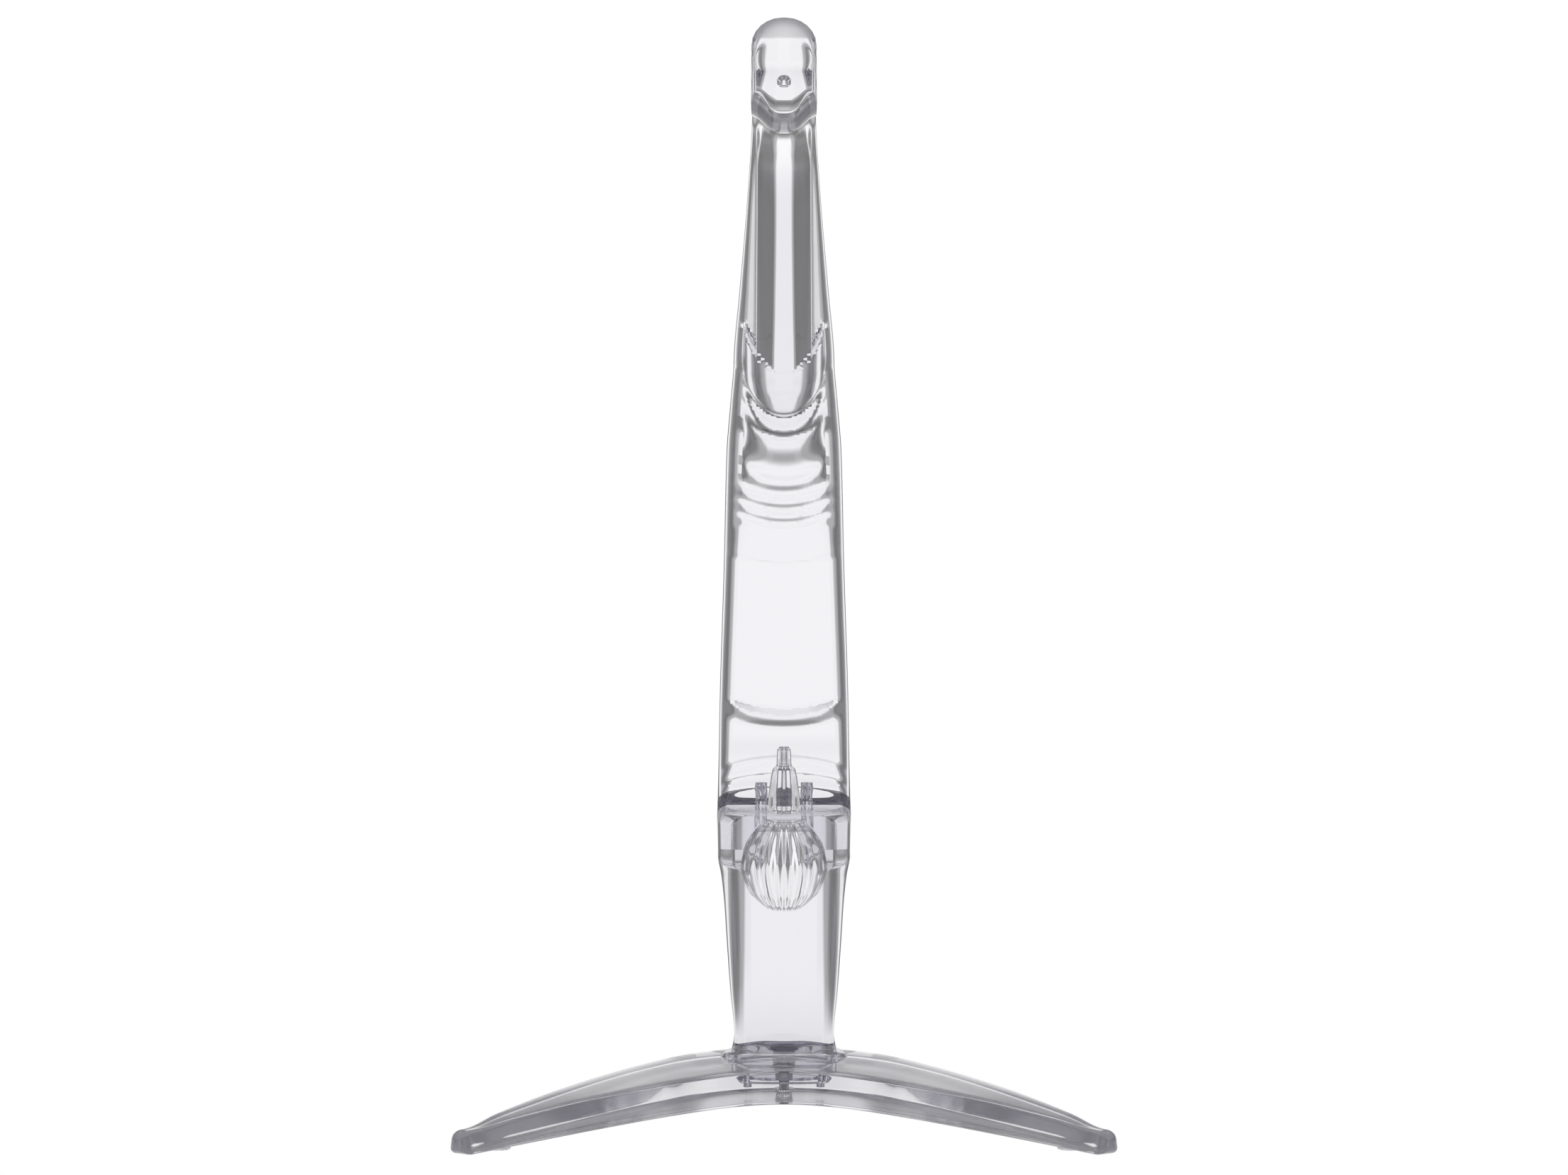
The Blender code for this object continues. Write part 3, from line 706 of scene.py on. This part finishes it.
CLEAR_TINT = (0.985, 0.982, 0.995, 1.0)
FLOW_TINT = (0.97, 0.965, 0.985, 1.0)  # in the flow lines of the moulding
CLEAR_IOR = 1.53
SOFT_IOR = 1.41
HAZE = (0.5, 0.49, 0.56, 1.0)
STEEL_COLOURS = (0.88, 0.88, 0.9, 1.0), (0.95, 0.95, 0.96, 1.0)
PAD_COLOURS = (0.93, 0.93, 0.95, 1.0), (0.98, 0.98, 0.99, 1.0)
RIPPLE_HEIGHT = 0.00006  # metres, like the turning's and the grain's
TURNING_HEIGHT = 0.00002
GRAIN_HEIGHT = 0.00003


class Nodes:
    """Short ways to add and link shader nodes in one tree."""

    def __init__(self, tree):
        self.tree = tree

    def add(self, kind, **settings):
        """A new node of that kind."""
        node = self.tree.nodes.new(kind)
        for name, value in settings.items():
            setattr(node, name, value)
        return node

    def fill(self, socket, value):
        """Links an output to the socket, or sets it to a plain value."""
        if hasattr(value, "is_linked"):
            self.tree.links.new(value, socket)
        else:
            socket.default_value = value

    def math(self, operation, *values):
        """One sum on outputs and plain values."""
        node = self.add("ShaderNodeMath", operation=operation)
        for socket, value in zip(node.inputs, values):
            self.fill(socket, value)
        return node.outputs[0]

    def ramp(self, value, low, high, to_low=0.0, to_high=1.0):
        """A soft change from to_low to to_high while the value goes from low to high."""
        node = self.add("ShaderNodeMapRange", interpolation_type="SMOOTHSTEP")
        self.fill(node.inputs["Value"], value)
        self.fill(node.inputs["From Min"], low)
        self.fill(node.inputs["From Max"], high)
        self.fill(node.inputs["To Min"], to_low)
        self.fill(node.inputs["To Max"], to_high)
        return node.outputs["Result"]

    def place(self, axis):
        """Where the shaded point is along one axis of the object, in metres."""
        parts = self.add("ShaderNodeSeparateXYZ")
        self.fill(parts.inputs[0], self.add("ShaderNodeTexCoord").outputs["Object"])
        return parts.outputs[axis]

    def noise(self, scale, stretch=(1, 1, 1), detail=2.0):
        """Noise of that many waves to the metre, stretched along the object's axes."""
        mapping = self.add("ShaderNodeMapping")
        self.fill(mapping.inputs["Vector"], self.add("ShaderNodeTexCoord").outputs["Object"])
        mapping.inputs["Scale"].default_value = stretch
        noise = self.add("ShaderNodeTexNoise")
        self.fill(noise.inputs["Vector"], mapping.outputs["Vector"])
        noise.inputs["Scale"].default_value = scale
        noise.inputs["Detail"].default_value = detail
        return noise.outputs["Fac"]

    def mix(self, fac, first, second):
        """A colour between two colours."""
        node = self.add("ShaderNodeMix", data_type="RGBA")
        self.fill(node.inputs["Factor"], fac)
        node.inputs["A"].default_value = first
        node.inputs["B"].default_value = second
        return node.outputs["Result"]

    def bump(self, height, distance, strength=1.0):
        """A normal for a skin that stands up by that distance where the height is 1."""
        node = self.add("ShaderNodeBump")
        self.fill(node.inputs["Height"], height)
        node.inputs["Distance"].default_value = distance
        node.inputs["Strength"].default_value = strength
        return node.outputs["Normal"]


def principled(name):
    """A new material, its node tree and its main shader."""
    made = bpy.data.materials.new(name)
    made.use_nodes = True
    return made, made.node_tree, made.node_tree.nodes["Principled BSDF"]


def clear_plastic(name, density, thin_out=None, ripples=0.25, frost=None):
    """Clear moulded plastic: flow lines that ripple its skin, a faint violet tint and a little haze.
    Where light runs far along a narrow piece, `thin_out` lowers the haze: along which axis, from
    where to where, and what is left of it. `frost` gives the heights between which the polish turns
    into a fine frosting, and how rough that is."""
    made, tree, shader = principled(name)
    make = Nodes(tree)
    ripple = make.noise(160.0, (1.0, 1.0, 0.22))
    make.fill(shader.inputs["Base Color"], make.mix(ripple, CLEAR_TINT, FLOW_TINT))
    roughness = make.ramp(make.noise(420.0), 0.5, 0.9, 0.0, 0.02)
    if frost:
        start, end, roughest = frost
        frosting = make.ramp(make.place("Z"), start, end, 0.0, roughest)
        roughness = make.math("MAXIMUM", roughness, frosting)
    make.fill(shader.inputs["Roughness"], roughness)
    make.fill(shader.inputs["Normal"], make.bump(ripple, RIPPLE_HEIGHT, ripples))
    shader.inputs["Transmission Weight"].default_value = 1.0
    shader.inputs["IOR"].default_value = CLEAR_IOR
    haze = tree.nodes.new("ShaderNodeVolumeAbsorption")
    haze.inputs["Color"].default_value = HAZE
    haze.inputs["Density"].default_value = density
    if thin_out:
        axis, start, end, least = thin_out
        off_middle = make.math("ABSOLUTE", make.place(axis))
        make.fill(haze.inputs["Density"], make.ramp(off_middle, start, end, density, least))
    tree.links.new(haze.outputs[0], tree.nodes["Material Output"].inputs["Volume"])
    return made


def steel(name):
    """Turned steel: fine rings round the screw's axis and small changes of polish."""
    made, tree, shader = principled(name)
    make = Nodes(tree)
    turned = make.noise(900.0, (1.0, 1.0, 6.0))
    make.fill(shader.inputs["Base Color"], make.mix(turned, *STEEL_COLOURS))
    make.fill(shader.inputs["Roughness"], make.ramp(turned, 0.3, 0.7, 0.22, 0.4))
    make.fill(shader.inputs["Normal"], make.bump(turned, TURNING_HEIGHT))
    shader.inputs["Metallic"].default_value = 1.0
    return made


def soft_pad(name):
    """Clear soft plastic with a frosted, slightly grainy skin."""
    made, tree, shader = principled(name)
    make = Nodes(tree)
    grain = make.noise(2600.0)
    make.fill(shader.inputs["Base Color"], make.mix(grain, *PAD_COLOURS))
    make.fill(shader.inputs["Roughness"], make.ramp(grain, 0.3, 0.7, 0.25, 0.5))
    make.fill(shader.inputs["Normal"], make.bump(grain, GRAIN_HEIGHT))
    shader.inputs["Transmission Weight"].default_value = 0.9
    shader.inputs["IOR"].default_value = SOFT_IOR
    return made


def give(obj, material):
    """Puts the material in every slot of the object."""
    for slot in obj.material_slots:
        slot.material = material
    if not obj.material_slots:
        obj.data.materials.append(material)


def dress(looks):
    """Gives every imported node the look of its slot."""
    for name, obj in frame["nodes"].items():
        give(obj, looks[SLOTS[name]])


# Studio ----------------------------------------------------------------------------------------

LOBES = 8
LOBE_LIGHT = 0.56  # how much brighter a lobe is than the grey beside it
# how brightly the floor glows close round the stand, painted light in place of lamp light on it
FLOOR_LIGHT = 0.92
FLOOR_SIZE = 6.0  # metres
FLOOR_DROP = 0.0002  # metres below the pads
PLAIN_FLOOR = (0.14, 0.34)  # metres out to where the floor's lobes start and reach full strength


def studio_light(make, x, y):
    """White lobes round the horizon, and the grey between them, as seen towards (x, y)."""
    bearing = make.math("ARCTAN2", y, x)
    facing = make.math("COSINE", make.math("MULTIPLY", bearing, LOBES))
    return make.ramp(facing, 0.25, 0.75), make.ramp(facing, -0.9, 0.1, 0.2, 0.46)


def build_world():
    """White lobes low down, darker higher up, and a white patch overhead."""
    world = bpy.data.worlds.new("studio")
    bpy.context.scene.world = world
    world.use_nodes = True
    make = Nodes(world.node_tree)
    background = world.node_tree.nodes["Background"]
    parts = make.add("ShaderNodeSeparateXYZ")
    make.fill(parts.inputs[0], make.add("ShaderNodeTexCoord").outputs["Generated"])
    height = parts.outputs["Z"]
    lobe, gap = studio_light(make, parts.outputs["X"], parts.outputs["Y"])
    lobe = make.math("MULTIPLY", lobe, make.ramp(height, 0.2, 0.42, 1.0, 0.0))
    dusk = make.math("MULTIPLY", gap, make.ramp(height, 0.25, 0.6, 1.0, 0.35))
    light = make.math("ADD", dusk, make.math("MULTIPLY", lobe, LOBE_LIGHT))
    light = make.math("MAXIMUM", light, make.ramp(height, 0.42, 0.8, 0.0, 0.9))
    seen = make.add("ShaderNodeLightPath").outputs["Is Camera Ray"]
    make.fill(background.inputs["Strength"], make.math("MAXIMUM", light, seen))
    background.inputs["Color"].default_value = (1, 1, 1, 1)


def build_floor():
    """A floor that glows instead of being lit, so it takes no shadow: painted light. Its glow is white
    to the camera.
    Seen through the plastic, it is even close round the stand and carries the studio's lobes on further
    out."""
    bpy.ops.mesh.primitive_plane_add(size=FLOOR_SIZE, location=(0, 0, -FLOOR_DROP))
    floor = bpy.context.object
    floor.name = "floor"
    made, tree, shader = principled("floor_glow")
    make = Nodes(tree)
    lobe, gap = studio_light(make, make.place("X"), make.place("Y"))
    away = make.add("ShaderNodeVectorMath", operation="LENGTH")
    make.fill(away.inputs[0], make.add("ShaderNodeTexCoord").outputs["Object"])
    far = make.ramp(away.outputs["Value"], *PLAIN_FLOOR)
    lobed = make.math("ADD", gap, make.math("MULTIPLY", lobe, LOBE_LIGHT))
    change = make.math("MULTIPLY", make.math("SUBTRACT", lobed, FLOOR_LIGHT), far)
    light = make.math("ADD", change, FLOOR_LIGHT)
    seen = make.add("ShaderNodeLightPath").outputs["Is Camera Ray"]
    # No colour of its own: the floor's glow is painted light, so it is bright without lamps and takes
    # no shadow.
    shader.inputs["Base Color"].default_value = (0.0, 0.0, 0.0, 1.0)
    shader.inputs["Specular IOR Level"].default_value = 0.0
    shader.inputs["Emission Color"].default_value = (1, 1, 1, 1)
    make.fill(shader.inputs["Emission Strength"], make.math("MAXIMUM", light, seen))
    give(floor, made)


def build_camera():
    """Level, straight in front, and as high as the middle of the stand."""
    data = bpy.data.cameras.new("camera")
    data.sensor_width = SENSOR_WIDTH
    data.lens = FOCAL_LENGTH
    camera = bpy.data.objects.new("camera", data)
    bpy.context.scene.collection.objects.link(camera)
    camera.location = (0, -CAMERA_REACH, CAMERA_HEIGHT)
    camera.rotation_euler = (math.pi / 2, 0, 0)
    bpy.context.scene.camera = camera


def let_light_through():
    """Clear plastic needs many bounces, or its thick parts turn black."""
    cycles = bpy.context.scene.cycles
    cycles.max_bounces = BOUNCES
    cycles.glossy_bounces = BOUNCES
    cycles.transmission_bounces = BOUNCES


bpy.context.scene.view_settings.view_transform = "Standard"
let_light_through()
LOOKS = {
    "clear_body": clear_plastic(
        "clear_body", density=20.0, thin_out=("Z", 0.232, 0.246, 3.0), frost=(0.2625, 0.264, 0.42)
    ),
    "clear_base": clear_plastic(
        "clear_base",
        density=17.0,
        thin_out=("X", 0.004, 0.044, 3.0),
        ripples=0.12,
        frost=(0.0016, 0.001, 0.26),
    ),
    "clear_pins": clear_plastic("clear_pins", density=3.0),
    "steel": steel("steel"),
    "soft_pads": soft_pad("soft_pads"),
}
dress(LOOKS)
build_spine(LOOKS["clear_body"])
build_stem(LOOKS["clear_body"])
build_base(LOOKS["clear_base"])
# The peg and the fin are small enough to look as clear as the pins.
build_peg(LOOKS["clear_pins"])
build_fin(LOOKS["clear_pins"])
for node in SMALL_NODES:
    build_small(node, LOOKS[SLOTS[node]])
for node in PAD_NODES:
    build_pad(node, LOOKS[SLOTS[node]])
build_floor()
build_world()
build_camera()
